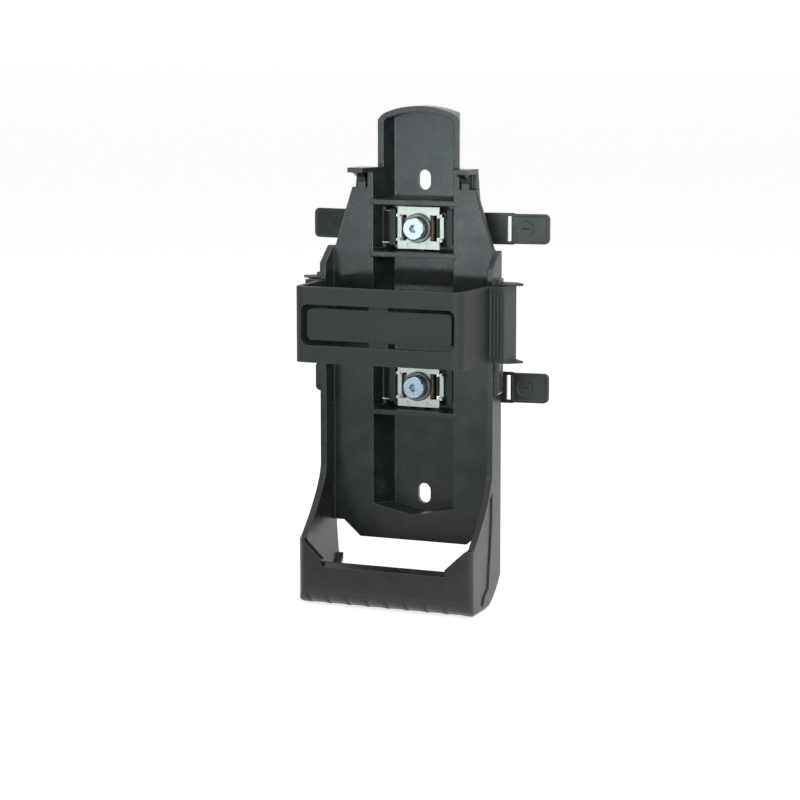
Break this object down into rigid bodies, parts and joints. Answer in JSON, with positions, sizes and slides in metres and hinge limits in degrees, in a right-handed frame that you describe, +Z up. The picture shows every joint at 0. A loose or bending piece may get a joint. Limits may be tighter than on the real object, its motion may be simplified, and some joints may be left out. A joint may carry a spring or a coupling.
{
  "type": "bike lock bracket",
  "caption": "Moulded frame bracket for a folding bike lock: channelled spine, flared basket, sliding collar with sprung tongue, and two screw clamps with strap ends",
  "frame": {"origin": "middle of the two mounting slots, on the back face of the spine", "axes": "+Z up along the spine, +Y from the bracket into the bicycle frame, +X to the right as seen from the front"},
  "size_m": [0.1024, 0.0564, 0.1984],
  "materials": {
    "black_plastic": "fine satin moulding texture",
    "strap_plastic": "smooth moulded",
    "zinc_steel": "bright zinc plate",
    "olive_steel": "olive chromated zinc"
  },
  "bodies": {
    "holder": {"holder_body": "black_plastic", "upper_trunnion_nut": "olive_steel", "lower_trunnion_nut": "olive_steel"},
    "collar": {"collar": "black_plastic"},
    "upper_plate": {"upper_clamp_plate": "zinc_steel", "upper_cup_washer": "zinc_steel"},
    "upper_screw": {"upper_screw": "zinc_steel"},
    "upper_left_strap": {"upper_left_strap": "strap_plastic"},
    "upper_right_strap": {"upper_right_strap": "strap_plastic"},
    "lower_plate": {"lower_clamp_plate": "zinc_steel", "lower_cup_washer": "zinc_steel"},
    "lower_screw": {"lower_screw": "zinc_steel"},
    "lower_left_strap": {"lower_left_strap": "strap_plastic"},
    "lower_right_strap": {"lower_right_strap": "strap_plastic"}
  },
  "joints": [
    {"name": "collar_slide", "type": "slide", "parent": "holder", "child": "collar", "axis": [0, 0, 1], "range_m": [-0.0115, 0.002]},
    {"name": "upper_clamp_slide", "type": "slide", "parent": "holder", "child": "upper_plate", "axis": [0, 1, 0], "range_m": [-0.0016, 0.0006]},
    {"name": "upper_screw_turn", "type": "hinge", "parent": "upper_plate", "child": "upper_screw", "pos_m": [0, -0.0093, 0.045], "axis": [0, 1, 0], "range_deg": [-720.5, 270.5]},
    {"name": "upper_left_strap_bend", "type": "hinge", "parent": "upper_plate", "child": "upper_left_strap", "pos_m": [-0.00915, -0.0056, 0.045], "axis": [0, 0, 1], "range_deg": [-2, 8]},
    {"name": "upper_right_strap_bend", "type": "hinge", "parent": "upper_plate", "child": "upper_right_strap", "pos_m": [0.00915, -0.0056, 0.045], "axis": [0, 0, 1], "range_deg": [-8, 2]},
    {"name": "lower_clamp_slide", "type": "slide", "parent": "holder", "child": "lower_plate", "axis": [0, 1, 0], "range_m": [-0.0016, 0.0006]},
    {"name": "lower_screw_turn", "type": "hinge", "parent": "lower_plate", "child": "lower_screw", "pos_m": [0, -0.0093, -0.019], "axis": [0, 1, 0], "range_deg": [-720.5, 270.5]},
    {"name": "lower_left_strap_bend", "type": "hinge", "parent": "lower_plate", "child": "lower_left_strap", "pos_m": [-0.00915, -0.0056, -0.019], "axis": [0, 0, 1], "range_deg": [-2, 8]},
    {"name": "lower_right_strap_bend", "type": "hinge", "parent": "lower_plate", "child": "lower_right_strap", "pos_m": [0.00915, -0.0056, -0.019], "axis": [0, 0, 1], "range_deg": [-8, 2]}
  ],
  "couplings": [
    {"joint": "upper_screw_turn", "follows": "upper_clamp_slide", "rad_per_m": 7854},
    {"joint": "lower_screw_turn", "follows": "lower_clamp_slide", "rad_per_m": 7854}
  ]
}
